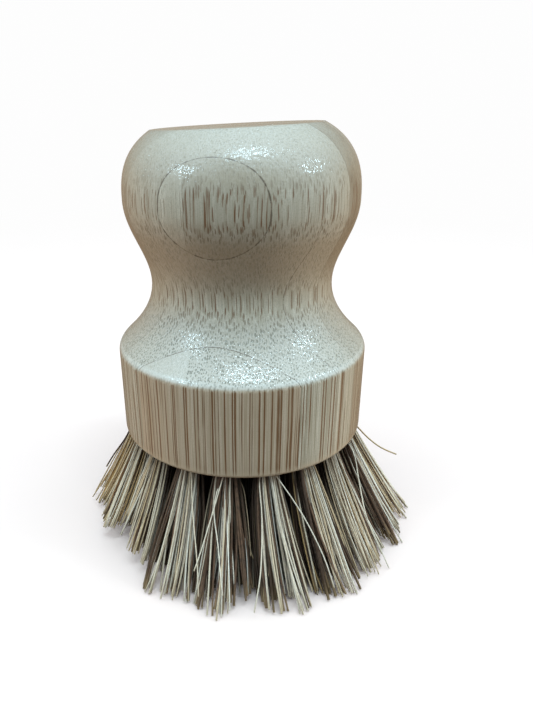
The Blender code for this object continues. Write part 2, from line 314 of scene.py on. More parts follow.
# How strongly each glue line shows, counted from the front, and between which heights on the handle.
GLUE_SHOWS = {
    1: (0.8, 19.0, 61.0),
    2: (0.7, 20.0, 43.0),
    3: (0.6, 19.0, 61.0),
    4: (0.4, 19.0, 61.0),
    5: (0.6, 19.0, 61.0),
    6: (0.4, 19.0, 45.0),
    7: (0.7, 19.0, 61.0),
    8: (0.6, 19.0, 61.0),
}
GLUE_FADE = 2.0
GLUE_ELSEWHERE_SHARE = 0.1
GLUE_PATCHES_PER_MM = 0.8
GLUE_PATCH_ROUGHNESS = 0.7
GLUE_WIDTH_RAMP = (0.3, 0.7, 0.03, 0.1)
GLUE_EDGE_RAMP = (0.4, 1.0, 1.0, 0.0)
GLUE_BREAK_RAMP = (0.38, 0.55, 0.4, 1.0)
GLUE_COLOUR = (0.13, 0.085, 0.05)

# The columns of the grain, and how the surface cuts across them.
GRAIN_SHIFT = 37.0
WANDER_MARKS = (0.12, 0.035, 1.0)
WANDER = 0.45
SWAY_MARKS = (0.25, 0.15, 1.0)
KNOB_SWAY = 0.7
END_GRAIN_RAMP = (0.08, 0.5)

# Faint bundles, evenly spread and broken along their length, and strong ones, which leave the darkest
# streaks. BUNDLES holds how freely each kind is scattered, the power, the factor and the least size
# that turn chance into a size, and the ramp at the edge.
BUNDLES_PER_MM = 2.2
FAINT_BUNDLES = (0.75, 1.0, (0.18, 0.2), (0.85, 1.15, 1.0, 0.0))
FAINT_BREAK_PATTERN = ((0.9, 0.12, 2.0), (0.35, 0.62, 0.4, 1.0))
FAINT_LEVEL_RAMP = (0.3, 0.9, 0.75, 0.8)
FAINT_COLOURS = ((0.25, 0.135, 0.065), (0.2, 0.18, 0.125))
STRONG_BUNDLES = (1.0, 1.5, (0.22, 0.14), (0.88, 1.05, 1.0, 0.0))
STRONG_END_RAMP = (0.0, 1.0, 1.0, 0.65)
STRONG_LESS_AT_WAIST_SHARE = 0.4
STRONG_LESS_ON_KNOB_SHARE = 0.3
STRONG_DOTTED_RAMP = (0.1, 0.8, 0.45, 1.0)
STRONG_LEVEL_RAMP = (0.0, 0.3, 0.95, 0.4)
STRONG_COLOURS = ((0.21, 0.09, 0.032), (0.17, 0.14, 0.09))

# The wood between the bundles: pale and dark lines, slow changes of tone, tan clouds and specks.
PLAIN_COLOURS = ((0.82, 0.695, 0.54), (0.67, 0.585, 0.49))
LINE_MARKS = (5.0, 0.04, 3.0, 0.65)
LINE_RAMP = (0.4, 0.6)
LINE_COLOUR = (0.42, 0.33, 0.225)
SMOOTH_WOOD = 0.8
SMOOTH_UPRIGHT_SHARE = 0.6
SMOOTH_END_SHARE = 0.5
TONE_PATTERN = ((0.9, 0.02, 2.0), (0.35, 0.65, 0.0, 0.5))
TONE_END_RAMP = (0.0, 1.0, 1.0, 0.4)
TONE_COLOUR = (0.5, 0.4, 0.28)
CLOUD_PATTERN = ((0.2, 0.08, 2.0), (0.3, 0.7, 0.6, 1.0))
# Tan, partly the wood's own and partly painted shade.
TAN_AND_SHADE_COLOUR = (0.22, 0.145, 0.085)
SPECKS_PER_MM = 4.5
SPECK_ROUGHNESS = 0.6
SPECK_RAMP = (0.48, 0.66, 0.0, 0.35)
SPECK_COLOUR = (0.36, 0.29, 0.2)
PAINTED_WARM_SHADE_COLOUR = (0.56, 0.345, 0.205)

# The relief of the wood and of the lacquer over it.
STRONG_GROOVE = -0.5
FAINT_GROOVE = -0.4
LINE_RIDGE = 0.3
PEEL_PER_MM = 1.5
PEEL_UNDER_COAT = 0.35
WOOD_RELIEF = 0.05 * MM
COAT_RELIEF = 0.1 * MM
DIMPLE_RAMP = (0.0, 1.0, 0.2, 0.6)
WOOD_ROUGHNESS_RAMP = (0.0, 1.0, 0.42, 0.6)
LACQUER = {"Coat Weight": 0.9, "Coat Roughness": 0.06, "Coat IOR": 1.5}


class Bamboo(Nodes):
    """Lacquered bamboo, as a solid texture: upright bundles of fibre that show as dots or streaks."""

    def __init__(self, number):
        super().__init__(f"bamboo_{number}")
        self.number = number
        self.flecks = self.mapped(self.object_place(), scale=(1 / MM,) * 3)
        self.grain = self.mapped(self.flecks, turn=BOARD_TURN)
        self.own_grain = self.mapped(self.grain, shift=(GRAIN_SHIFT * number, 0.0, 0.0))
        self.across, self.depth, above_tips = self.parts(self.grain)
        self.height = self.math("SUBTRACT", above_tips, BRISTLE_LENGTH / MM)
        self.side = self.ramp(self.height, *SIDE_RAMP)
        self.knob = self.ramp(self.height, *KNOB_RAMP)

        # The columns of the grain wander a little with the height, and more in the knob.
        wander = self.marks(self.own_grain, *WANDER_MARKS)["Color"]
        column = self.vector("MULTIPLY_ADD", wander, (WANDER, WANDER, 0.0), self.own_grain)
        sway = self.marks(self.own_grain, *SWAY_MARKS)["Color"]
        sway = self.vector("MULTIPLY", sway, self.product(self.knob, KNOB_SWAY))
        self.column = self.vector("MULTIPLY_ADD", sway, (1.0, 1.0, 0.0), column)

        # How far the surface cuts across the grain: 0 on upright sides, 1 on flat ends.
        facing = self.parts(self.add("NewGeometry").outputs["Normal"])[2]
        self.end_grain = self.ramp(self.math("ABSOLUTE", facing), *END_GRAIN_RAMP)

    def strip_looks(self):
        """How tan the wood is, partly as painted shade, and how thickly it is dotted."""
        joint, left_look, right_look = STRIPS[self.number]
        right = self.ramp(self.across, joint - HALF_STRIP_JOINT, joint + HALF_STRIP_JOINT)
        tan_and_shade, dotted = [self.math("MULTIPLY_ADD", right, there - here, here)
                          for here, there in zip(left_look, right_look)]
        return tan_and_shade, self.math("MAXIMUM", dotted, self.product(self.side, SIDE_DOTTED))

    def bundles(self, scatter, power, sizes, edge_ramp, smaller=1.0):
        """1 in the bundles of one kind, and 0 between them."""
        cells = self.add("TexVoronoi", voronoi_dimensions="2D")
        cells = self.fill(cells, {"Vector": self.column, "Scale": BUNDLES_PER_MM, "Randomness": scatter})
        chance = self.math("POWER", self.parts(cells["Color"])[0], power)
        size = self.product(self.math("MULTIPLY_ADD", chance, *sizes), smaller)
        return self.ramp(self.math("DIVIDE", cells["Distance"], size), *edge_ramp)

    def plain_wood(self, lines, tan_and_shade):
        """Colour the wood between the bundles."""
        pale = self.ramp(lines, *LINE_RAMP)
        on_side = self.product(self.less(1.0, self.side), SMOOTH_UPRIGHT_SHARE)
        smooth = self.ramp(self.end_grain, 0.0, 1.0, on_side, SMOOTH_END_SHARE)
        pale = self.math("MULTIPLY_ADD", smooth, self.math("SUBTRACT", SMOOTH_WOOD, pale), pale)
        self.colour = self.mix(pale, LINE_COLOUR, self.mix(self.end_grain, *PLAIN_COLOURS))
        tone = self.pattern(self.column, *TONE_PATTERN)
        self.tint(self.product(tone, self.ramp(self.end_grain, *TONE_END_RAMP)), TONE_COLOUR)
        # Tan clouds: partly the strips' own tone, partly painted shade.
        cloud = self.pattern(self.own_grain, *CLOUD_PATTERN)
        self.tint(self.product(tan_and_shade, cloud, self.ramp(self.height, *TAN_AND_SHADE_HEIGHT_RAMP)), TAN_AND_SHADE_COLOUR)
        speck = self.noise(self.flecks, SPECKS_PER_MM, 2.0, SPECK_ROUGHNESS)[0]
        self.tint(self.ramp(speck, *SPECK_RAMP), SPECK_COLOUR)

    def glue_line(self, line):
        """How much of a glue line shows at each place: a thin broken trace, stronger between two heights."""
        depth = (BACK_GLUE_LINE + BOARD_STEP * (BOARD_COUNT - 1 - line)) / MM
        strength, low, high = GLUE_SHOWS[line]
        away = self.math("ABSOLUTE", self.math("ADD", self.depth, depth))
        patchy = self.mapped(self.grain, scale=(GLUE_PATCHES_PER_MM, 0.0, GLUE_PATCHES_PER_MM))
        patchy = self.noise(patchy, 1.0, 3.0, GLUE_PATCH_ROUGHNESS)[0]
        width = self.ramp(patchy, *GLUE_WIDTH_RAMP)
        trace = self.ramp(self.math("DIVIDE", away, width), *GLUE_EDGE_RAMP)
        elsewhere = strength * GLUE_ELSEWHERE_SHARE
        inside = self.between(self.height, (low - GLUE_FADE, low), (high, high + GLUE_FADE))
        shows = self.math("MULTIPLY_ADD", inside, strength - elsewhere, elsewhere)
        return self.product(trace, self.ramp(patchy, *GLUE_BREAK_RAMP), shows)

    def finish(self):
        tan_and_shade, dotted = self.strip_looks()
        broken = self.pattern(self.own_grain, *FAINT_BREAK_PATTERN)
        faint = self.product(self.bundles(*FAINT_BUNDLES), broken, dotted)
        waist = self.between(self.height, *WAIST_ZONE)
        smaller = self.product(self.ramp(self.end_grain, *STRONG_END_RAMP),
                               self.less(STRONG_LESS_AT_WAIST_SHARE, waist),
                               self.less(STRONG_LESS_ON_KNOB_SHARE, self.knob))
        strong = self.product(self.bundles(*STRONG_BUNDLES, smaller),
                              self.ramp(dotted, *STRONG_DOTTED_RAMP))
        lines = self.marks(self.column, *LINE_MARKS)[0]
        self.plain_wood(lines, tan_and_shade)

        # The zones tint the wood, some with painted light and shade, and hide some of the grain.
        # Painted warm shade on the cut side of the base.
        self.tint(self.product(self.side, SIDE_PAINTED_WARM_SHADE.get(self.number, USUAL_SIDE_PAINTED_WARM_SHADE)), PAINTED_WARM_SHADE_COLOUR)
        shows = 1.0
        for rise, fall, colour, strength, hidden in ZONES.values():
            zone = self.between(self.height, rise, fall)
            self.tint(self.product(zone, strength), colour)
            shows = self.product(shows, self.less(hidden, zone))

        level = self.math("MAXIMUM", self.ramp(self.end_grain, *FAINT_LEVEL_RAMP), self.side)
        self.tint(self.product(faint, shows, level), self.mix(self.end_grain, *FAINT_COLOURS))
        level = self.ramp(self.end_grain, *STRONG_LEVEL_RAMP)
        self.tint(self.product(strong, shows, level), self.mix(self.end_grain, *STRONG_COLOURS))
        for line in (self.number - 1, self.number):
            if line in GLUE_SHOWS:
                self.tint(self.glue_line(line), GLUE_COLOUR)

        groove = self.math("MULTIPLY_ADD", strong, STRONG_GROOVE, self.product(faint, FAINT_GROOVE))
        groove = self.math("MULTIPLY_ADD", lines, LINE_RIDGE, groove)
        peel = self.noise(self.flecks, PEEL_PER_MM, 1.0)[0]
        dimple = self.product(groove, self.ramp(self.end_grain, *DIMPLE_RAMP))
        self.fill(self.shader, {
            "Base Color": self.colour,
            "Normal": self.bump(self.math("MULTIPLY_ADD", peel, PEEL_UNDER_COAT, groove), WOOD_RELIEF),
            "Coat Normal": self.bump(self.math("ADD", dimple, peel), COAT_RELIEF),
            "Roughness": self.ramp(faint, *WOOD_ROUGHNESS_RAMP),
            **LACQUER,
        })
        return self.owner


# Fibre: its pale and its brown kind, each from dark to light, and what is laid over them, painted shade too.
FIBRE_VALUES = ("brown", "tone", "along", "inner")
PALE_FIBRE_COLOURS = ((0.64, 0.385, 0.16), (0.98, 0.84, 0.68))
BROWN_FIBRE_COLOURS = ((0.02, 0.012, 0.008), (0.25, 0.13, 0.075))
SPECKLES_PER_MM = 2.5
SPECKLE_STRETCH_SHARE = 0.3
SPECKLE_RAMP = (0.4, 0.7, 0.0, 0.22)
SPECKLE_COLOUR = (0.23, 0.15, 0.085)
DULL_RAMP = (0.5, 0.62, 0.0, 0.8)
DULL_COLOUR = (0.09, 0.05, 0.033)
TIP_RAMP = (0.85, 1.0, 0.0, 0.45)
TIP_COLOUR = (0.42, 0.26, 0.12)
# Painted shade: darker deep in the brush and near the roots.
INNER_PAINTED_SHADE_RAMP = (0.2, 1.0, 0.78, 0.66)
ROOT_PAINTED_SHADE_RAMP = (0.1, 0.6, 0.25, 0.0)
PAINTED_SHADE_COLOUR = (0.05, 0.03, 0.02)
FIBRE_ROUGHNESS_RAMP = (0.3, 0.7, 0.4, 0.62)
FIBRE_RELIEF = 0.04 * MM
FIBRE_SHEEN = 0.2


def fibre_finish():
    """Split plant fibre. Each fibre carries its own kind, tone and painted shade as attributes of its mesh.
    """
    nodes = Nodes("fibre")
    brown, tone, along, inner = [nodes.add("Attribute", attribute_name=name).outputs["Fac"]
                                 for name in FIBRE_VALUES]
    place = nodes.mapped(nodes.object_place(), scale=(1 / MM, 1 / MM, SPECKLE_STRETCH_SHARE / MM))
    speckle = nodes.noise(place, SPECKLES_PER_MM, 3.0)[0]
    nodes.colour = nodes.mix(brown, nodes.mix(tone, *PALE_FIBRE_COLOURS),
                             nodes.mix(tone, *BROWN_FIBRE_COLOURS))
    nodes.tint(nodes.ramp(speckle, *SPECKLE_RAMP), SPECKLE_COLOUR)
    nodes.tint(nodes.ramp(speckle, *DULL_RAMP), nodes.mix(brown, nodes.colour, DULL_COLOUR))
    nodes.tint(nodes.ramp(along, *TIP_RAMP), TIP_COLOUR)
    # Painted shade, laid over the fibre's colour.
    painted_shade = nodes.math("MULTIPLY_ADD", inner, nodes.ramp(along, *INNER_PAINTED_SHADE_RAMP),
                      nodes.ramp(along, *ROOT_PAINTED_SHADE_RAMP))
    nodes.tint(painted_shade, PAINTED_SHADE_COLOUR)
    nodes.fill(nodes.shader, {
        "Base Color": nodes.colour,
        "Roughness": nodes.ramp(speckle, *FIBRE_ROUGHNESS_RAMP),
        "Normal": nodes.bump(speckle, FIBRE_RELIEF),
        "Specular IOR Level": FIBRE_SHEEN,
    })
    return nodes.owner


# Wire: marks to the millimetre across the wire's run and along it.
WIRE_MARKS_PER_MM = (4.0, 4.0, 0.4)
WIRE_COLOUR_RAMP = (0.35, 0.65)
WIRE_COLOURS = ((0.42, 0.41, 0.39), (0.62, 0.6, 0.57))
WIRE_ROUGHNESS_RAMP = (0.3, 0.7, 0.3, 0.5)
WIRE_RELIEF = 0.01 * MM


def wire_finish():
    """Drawn steel wire with faint lengthwise marks."""
    nodes = Nodes("wire")
    place = nodes.mapped(nodes.object_place(), scale=[count / MM for count in WIRE_MARKS_PER_MM])
    marks = nodes.noise(place, 1.0, 3.0)[0]
    nodes.fill(nodes.shader, {
        "Base Color": nodes.mix(nodes.ramp(marks, *WIRE_COLOUR_RAMP), *WIRE_COLOURS),
        "Roughness": nodes.ramp(marks, *WIRE_ROUGHNESS_RAMP),
        "Normal": nodes.bump(marks, WIRE_RELIEF),
        "Metallic": 1.0,
    })
    return nodes.owner


# Handle.

def bend(start, corner, end, share):
    """A point on the curve that leaves start towards corner, and reaches end from there."""
    return start * (1 - share) ** 2 + corner * (2 * share * (1 - share)) + end * share ** 2


def side_curve():
    """The eased lower rim and the upright side."""
    curve = []
    for share in shares_of_one(UNDERSIDE_STEPS):
        angle = share * pi / 2
        radius = BASE_RADIUS - UNDERSIDE_ROUND * (1 - sin(angle))
        curve.append((radius, UNDERSIDE_ROUND * (1 - cos(angle))))
    rise = SIDE_HEIGHT - CREASE_ROUND - UNDERSIDE_ROUND
    for share in shares_of_one(SIDE_STEPS)[1:-1]:
        curve.append((BASE_RADIUS, UNDERSIDE_ROUND + rise * share))
    return curve


def shoulder_radius(height):
    """The shoulder sweeps in from the crease to the waist along a parabola."""
    share = (WAIST_HEIGHT - height) / SIDE_TO_WAIST
    return WAIST_RADIUS + (BASE_RADIUS - WAIST_RADIUS) * share ** 2


def shoulder_curve():
    """The soft edge over the upright side, and then the shoulder."""
    start = SIDE_HEIGHT + CREASE_ROUND
    points = ((BASE_RADIUS, SIDE_HEIGHT - CREASE_ROUND), (BASE_RADIUS, SIDE_HEIGHT),
              (shoulder_radius(start), start))
    side_end, corner, shoulder_start = [Vector(point) for point in points]
    curve = [bend(side_end, corner, shoulder_start, share) for share in shares_of_one(CREASE_STEPS)]
    for share in shares_of_one(SHOULDER_STEPS)[1:]:
        height = start + (WAIST_HEIGHT - start) * share
        curve.append((shoulder_radius(height), height))
    return curve


def swell_curve():
    """Half a cosine wave from the waist out to the widest part of the knob."""
    curve = []
    for share in shares_of_one(SWELL_STEPS)[1:]:
        swell = (1 - cos(pi * share)) / 2
        radius = WAIST_RADIUS + (KNOB_RADIUS - WAIST_RADIUS) * swell
        curve.append((radius, WAIST_HEIGHT + WAIST_TO_KNOB * share))
    return curve


def crown_curve():
    """A squared ellipse from the knob's widest part, carried on a little past the flat."""
    flat_share = FLAT_RADIUS / KNOB_RADIUS
    crown_rise = KNOB_TO_FLAT / (1 - flat_share ** CROWN_POWER) ** (1 / CROWN_POWER)
    reach = KNOB_TO_FLAT + 2 * FLAT_RADIUS * tan(FLAT_TILT)
    curve = []
    for share in shares_of_one(CROWN_STEPS)[1:]:
        height = reach * sin(share * pi / 2)
        left = max(0.0, 1 - (height / crown_rise) ** CROWN_POWER)
        curve.append((KNOB_RADIUS * left ** (1 / CROWN_POWER), KNOB_HEIGHT + height))
    return curve


def ring_faces(bm, rings):
    """Skin a stack of rings of vertices, and close both its ends."""
    sides = len(rings[0])
    for low, high in zip(rings, rings[1:]):
        for side in range(sides):
            after = (side + 1) % sides
            bm.faces.new((low[side], low[after], high[after], high[side]))
    bm.faces.new(rings[0])
    bm.faces.new(rings[-1])


def cut_and_close(bm, point, normal):
    """Keep what lies behind a plane, and close the cut."""
    everything = bm.verts[:] + bm.edges[:] + bm.faces[:]
    bmesh.ops.bisect_plane(bm, geom=everything, dist=SNAP, plane_co=point, plane_no=normal,
                           clear_outer=True)
    rim = [edge for edge in bm.edges if edge.is_boundary]
    return bmesh.ops.holes_fill(bm, edges=rim, sides=0)["faces"]


def turned_block():
    """The whole block as turned and flat-topped, with the flat's edge eased."""
    profile = side_curve() + shoulder_curve() + swell_curve() + crown_curve()
    bm = bmesh.new()
    rings = []
    for radius, height in profile:
        crown_share = max(0.0, height - KNOB_HEIGHT) / KNOB_TO_FLAT
        right = Vector((1.0, 0.0, crown_share * CROWN_LEAN_SHARE * tan(FLAT_TILT)))
        centre = UP * (BRISTLE_LENGTH + height)
        rings.append(round_ring(bm, centre, radius, TURNING_STEPS, right, BACK))
    ring_faces(bm, rings)
    bmesh.ops.recalc_face_normals(bm, faces=bm.faces)
    flat_normal = Vector((-sin(FLAT_TILT), 0.0, cos(FLAT_TILT)))
    flat = cut_and_close(bm, UP * (BRISTLE_LENGTH + HANDLE_HEIGHT), flat_normal)
    rim = [edge for face in flat for edge in face.edges]
    bmesh.ops.bevel(bm, geom=rim, offset=FLAT_EDGE_ROUND, segments=FLAT_EDGE_STEPS, affect="EDGES",
                    profile=0.5)
    return bm


def board_faces():
    """The front and back distance of each board from the axis, front board first."""
    lines = [FRONT_GLUE_LINE - BOARD_STEP * number for number in range(BOARD_COUNT - 1)]
    fronts = [BASE_RADIUS + CUT_OVERRUN] + [line - GLUE_FILM / 2 for line in lines]
    backs = [line + GLUE_FILM / 2 for line in lines] + [-BASE_RADIUS - CUT_OVERRUN]
    return zip(fronts, backs)


def split_islands(bm):
    """Part a bmesh into one bmesh for each loose piece, the highest first."""
    bm.verts.index_update()
    left = set(bm.verts)
    pieces = []
    while left:
        reached = set()
        found = {left.pop()}
        while found:
            reached |= found
            found = {edge.other_vert(vert) for vert in found for edge in vert.link_edges} - reached
        left -= reached
        kept = {vert.index for vert in reached}
        piece = bm.copy()
        piece.verts.index_update()
        unwanted = [vert for vert in piece.verts if vert.index not in kept]
        bmesh.ops.delete(piece, geom=unwanted, context="VERTS")
        pieces.append(piece)
    pieces.sort(key=lambda piece: -max(vert.co.z for vert in piece.verts))
    return pieces


def new_object(name, data, finish=None):
    if finish:
        data.materials.append(finish)
    item = bpy.data.objects.new(name, data)
    bpy.context.scene.collection.objects.link(item)
    return item


def object_from(name, bm, finish=None):
    bmesh.ops.recalc_face_normals(bm, faces=bm.faces)
    mesh = bpy.data.meshes.new(name)
    bm.to_mesh(mesh)
    bm.free()
    return new_object(name, mesh, finish)


def smooth(mesh, sharp_angle):
    """Shade a mesh smooth, but for edges that are sharper than an angle."""
    mesh.shade_smooth()
    mesh.set_sharp_from_angle(angle=sharp_angle)


def bored(item, cutters):
    """Cut the holes out of a board for good, and shade its turned surface smooth."""
    for cutter in cutters:
        cut = item.modifiers.new(cutter.name, "BOOLEAN")
        cut.operation = "DIFFERENCE"
        cut.object = cutter
    seen = item.evaluated_get(bpy.context.evaluated_depsgraph_get())
    mesh = bpy.data.meshes.new_from_object(seen)
    item.modifiers.clear()
    item.data = mesh
    smooth(mesh, WOOD_SHARP_ANGLE)


def add_boards(places):
    facing = outward_at(-BOARD_TURN)
    cutters = hole_cutters(places)
    block = turned_block()
    for number, (front, back) in enumerate(board_faces(), start=1):
        finish = Bamboo(number).finish()
        board = block.copy()
        cut_and_close(board, facing * front, facing)
        cut_and_close(board, facing * back, -facing)
        pieces = split_islands(board)
        board.free()
        endings = ("_knob", "_base") if len(pieces) == 2 else ("",)
        for piece, ending in zip(pieces, endings):
            item = object_from(f"wood_{number}{ending}", piece, finish)
            bored(item, cutters)
            ride_as(item, "bamboo", f"bamboo_board_{number}{ending}")
    block.free()
    for cutter in cutters:
        bpy.data.objects.remove(cutter)


def ride_as(item, slot, *nodes):
    """Every piece belongs to the one rigid body, and most stand for a CAD node."""
    if nodes:
        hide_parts(*nodes)
    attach(item, "root")


# Tuft layout, as in the CAD.

class TuftPlace:
    """Where one tuft sits: its hole's mouth and lean, and the patch that its tips cover."""

    def __init__(self, name, ring, angle, wedge):
        outward = outward_at(angle)
        tilt = ring * TILT_PER_RING
        self.name = name
        self.ring = ring
        self.outward = outward
        self.across = outward.cross(UP)
        self.axis = outward * sin(tilt) - UP * cos(tilt)
        self.side = outward * cos(tilt) + UP * sin(tilt)
        self.mouth = outward * (RING_STEP * ring) + UP * BRISTLE_LENGTH
        self.bottom = self.mouth - self.axis * HOLE_DEPTH
        self.crown = self.bottom + self.axis * (HOLE_CLEARANCE + BUNDLE_RADIUS)
        self.tip = outward * (TIP_STEP * ring) + Vector((TIP_LEAN, 0.0, 0.0))
        self.tip_half_width = TIP_STEP / 2
        if ring:
            self.tip_half_width = TIP_STEP * ring * tan(wedge / 2)


def tuft_places():
    """One tuft in the centre, and rings of six more tufts each time round it."""
    places = [TuftPlace("centre", 0, 0.0, 0.0)]
    for ring in range(1, RING_COUNT + 1):
        count = TUFTS_PER_RING_STEP * ring
        for number in range(count):
            angle = RING_TURN + 2 * pi * number / count
            name = f"ring_{ring}_{number + 1:02d}"
            places.append(TuftPlace(name, ring, angle, 2 * pi / count))
    return places


# Holes.

def round_ring(bm, centre, radius, sides, side, across):
    """A ring of vertices round a centre, in the plane of side and across."""
    ring = []
    for step in range(sides):
        angle = 2 * pi * step / sides
        ring.append(bm.verts.new(centre + (side * cos(angle) + across * sin(angle)) * radius))
    return ring


def bore(bm, place, start, end, radius, sides):
    ring_faces(bm, [round_ring(bm, centre, radius, sides, place.side, place.across)
                    for centre in (start, end)])


def hole_cutters(places):
    """The tufts' holes, and the slits that the staples' legs open in the wood under them."""
    holes = bmesh.new()
    slits = bmesh.new()
    depth = LEG_IN_WOOD + WIRE_CLEARANCE
    for place in places:
        bore(holes, place, place.mouth + place.axis * CUT_OVERRUN, place.bottom, HOLE_RADIUS, HOLE_SIDES)
        for sign in (-1, 1):
            mouth = place.bottom + place.across * (sign * HALF_LEG_SPACING)
            bore(slits, place, mouth + place.axis * HOLE_CLEARANCE, mouth - place.axis * depth,
                 WIRE_RADIUS + WIRE_CLEARANCE, WIRE_SIDES)
    return [object_from("hole_cutter", holes), object_from("pocket_cutter", slits)]


# Staples.

def staple_path(place):
    """The wire's centre line: up one leg, round the crown and down the other."""
    leg = HOLE_CLEARANCE + BUNDLE_RADIUS + LEG_IN_WOOD
    bend = []
    for share in shares_of_one(BEND_STEPS):
        angle = share * pi / 2
        along = HALF_LEG_SPACING - LEG_BEND * (1 - cos(angle))
        bend.append((along, LEG_BEND * (sin(angle) - 1)))
    first = [(-HALF_LEG_SPACING, -leg)] + [(-along, out) for along, out in bend]
    second = list(reversed(bend)) + [(HALF_LEG_SPACING, -leg)]
    return [place.crown + place.across * along + place.axis * out for along, out in first + second]


def add_staple(place, finish):
    path = staple_path(place)
    bm = bmesh.new()
    rings = []
    for index, centre in enumerate(path):
        before = path[max(index - 1, 0)]
        after = path[min(index + 1, len(path) - 1)]
        across = (after - before).normalized().cross(place.side)
        rings.append(round_ring(bm, centre, WIRE_RADIUS, WIRE_SIDES, place.side, across))
    ring_faces(bm, rings)
    item = object_from(f"wire_{place.name}", bm, finish)
    smooth(item.data, WIRE_SHARP_ANGLE)
    ride_as(item, "wire")


# Fibres.

# The tufts along the front, from the left of the photograph to its right: which parts are brown, from
# left (-1) to right (1), the share of brown clumps elsewhere, how much paler (or less pale) than usual
# the fibres are, how many millimetres the tips on the left, in the middle and on the right lack, and
# how many millimetres further out and further to the right than usual the tips stand.
FRONT_TUFTS = {
    "ring_3_14": ((), 0.03, -0.35, (0.0, 0.0, 1.5), (0.5, 0.0)),
    "ring_3_15": ((), 0.07, -0.15, (2.0, 2.0, 4.0), (0.5, 0.0)),
    "ring_3_16": (((-1.0, -0.8),), 0.05, 0.05, (7.0, 4.0, 1.5), (0.0, 0.0)),
    "ring_3_17": (((0.85, 1.0),), 0.05, 0.2, (0.0, 0.0, 0.0), (0.5, 0.0)),
    "ring_3_18": (((-0.5, -0.15), (0.8, 1.0)), 0.05, 0.15, (0.0, 0.0, 1.5), (0.0, -0.6)),
    "ring_3_01": (((-1.0, -0.6), (-0.3, 0.0)), 0.1, 0.15, (0.8, 0.0, 0.0), (0.7, 0.3)),
    "ring_3_02": (((-0.95, -0.35), (0.65, 0.9)), 0.1, 0.15, (0.0, 0.0, 0.0), (0.6, -0.5)),
    "ring_3_03": (((0.7, 1.0),), 0.0, 0.15, (0.0, 0.0, 0.0), (0.5, -1.9)),
    "ring_3_04": (((-0.8, -0.4),), 0.0, 0.2, (0.0, 0.0, 0.0), (0.4, -2.6)),
    "ring_3_05": ((), 0.0, -0.05, (0.0, 0.0, 0.0), (0.5, -5.6)),
}

# Single fibres that cross their neighbours or stick out. Each has its tuft, how brown and how pale it
# is, its radius, and the azimuth in degrees, the distance from the axis and the height of points on it.
STRAYS = (
    ("ring_3_18", 0.0, 0.7, 0.13,
     ((-9.2, 24.7, 22.2), (-12.0, 28.1, 16.7), (-14.5, 31.6, 10.8), (-16.0, 33.5, 7.5))),
    ("ring_3_18", 0.0, 0.8, 0.12,
     ((-11.7, 26.8, 18.4), (-8.8, 30.8, 12.1), (-6.9, 34.1, 6.4), (-6.2, 35.2, 4.2))),
    ("ring_3_01", 0.0, 0.8, 0.12,
     ((16.2, 24.8, 22.0), (23.6, 29.0, 15.5), (27.5, 33.2, 8.6), (28.6, 36.4, 3.0))),
    ("ring_3_01", 0.0, 0.7, 0.13,
     ((7.5, 24.4, 22.2), (7.4, 28.0, 16.0), (5.6, 33.4, 8.2), (3.1, 36.9, 1.9))),
    ("ring_3_17", 0.0, 0.6, 0.12,
     ((-24.0, 24.4, 22.0), (-20.0, 28.0, 16.0), (-15.5, 32.5, 9.0), (-13.6, 35.6, 3.6))),
    ("ring_3_18", 0.5, 0.3, 0.09,
     ((-0.5, 23.0, 20.5), (1.6, 25.0, 16.5), (2.6, 27.6, 11.5), (3.0, 29.0, 8.0))),
    ("ring_3_18", 0.5, 0.3, 0.08,
     ((-1.5, 22.5, 20.5), (0.6, 24.8, 15.5), (2.0, 27.2, 10.5), (3.8, 29.0, 7.5))),
    ("ring_3_04", 0.0, 0.7, 0.13,
     ((64.0, 26.0, 20.5), (58.0, 28.6, 16.0), (53.0, 31.5, 11.0), (52.0, 34.0, 6.5))),
    ("ring_3_14", 1.0, 0.3, 0.17,
     ((-81.5, 24.6, 22.4), (-80.7, 26.8, 19.2), (-80.4, 29.5, 15.6), (-80.4, 31.4, 12.6))),
    ("ring_3_05", 0.1, 0.0, 0.16,
     ((85.0, 25.2, 21.8), (84.5, 28.6, 18.4), (84.5, 31.8, 15.9), (84.5, 35.4, 14.3))),
)


class TuftLook:
    """What the fibres of one tuft have in common."""

    def __init__(self, place):
        plain = ((), RING_BROWN_SHARES[place.ring], 0.0, (0.0, 0.0, 0.0), (0.0, 0.0))
        own = FRONT_TUFTS.get(place.name, plain)
        self.brown_bands, self.brown_share, self.tone_shift, self.cuts, (out, right) = own
        self.tip = place.tip + (place.outward * out - place.across * right) * MM

    def cut_at(self, across):
        left, middle, right = self.cuts
        end = right if across > 0.0 else left
        return (middle + (end - middle) * min(1.0, abs(across))) * MM


class Clump:
    """A few fibres that cling together: where they stand in the bundle, and what they have in common."""

    def __init__(self, draw, look):
        self.depth, self.width = place_in_bundle(draw)
        self.brown = draw.random() < look.brown_share
        self.tone = draw.random() + look.tone_shift
        self.short = draw.random() ** 2 * CLUMP_RAGGED
        self.shift_depth, self.shift_width = [draw.gauss(0.0, share) for share in CLUMP_SHIFT_SHARES]


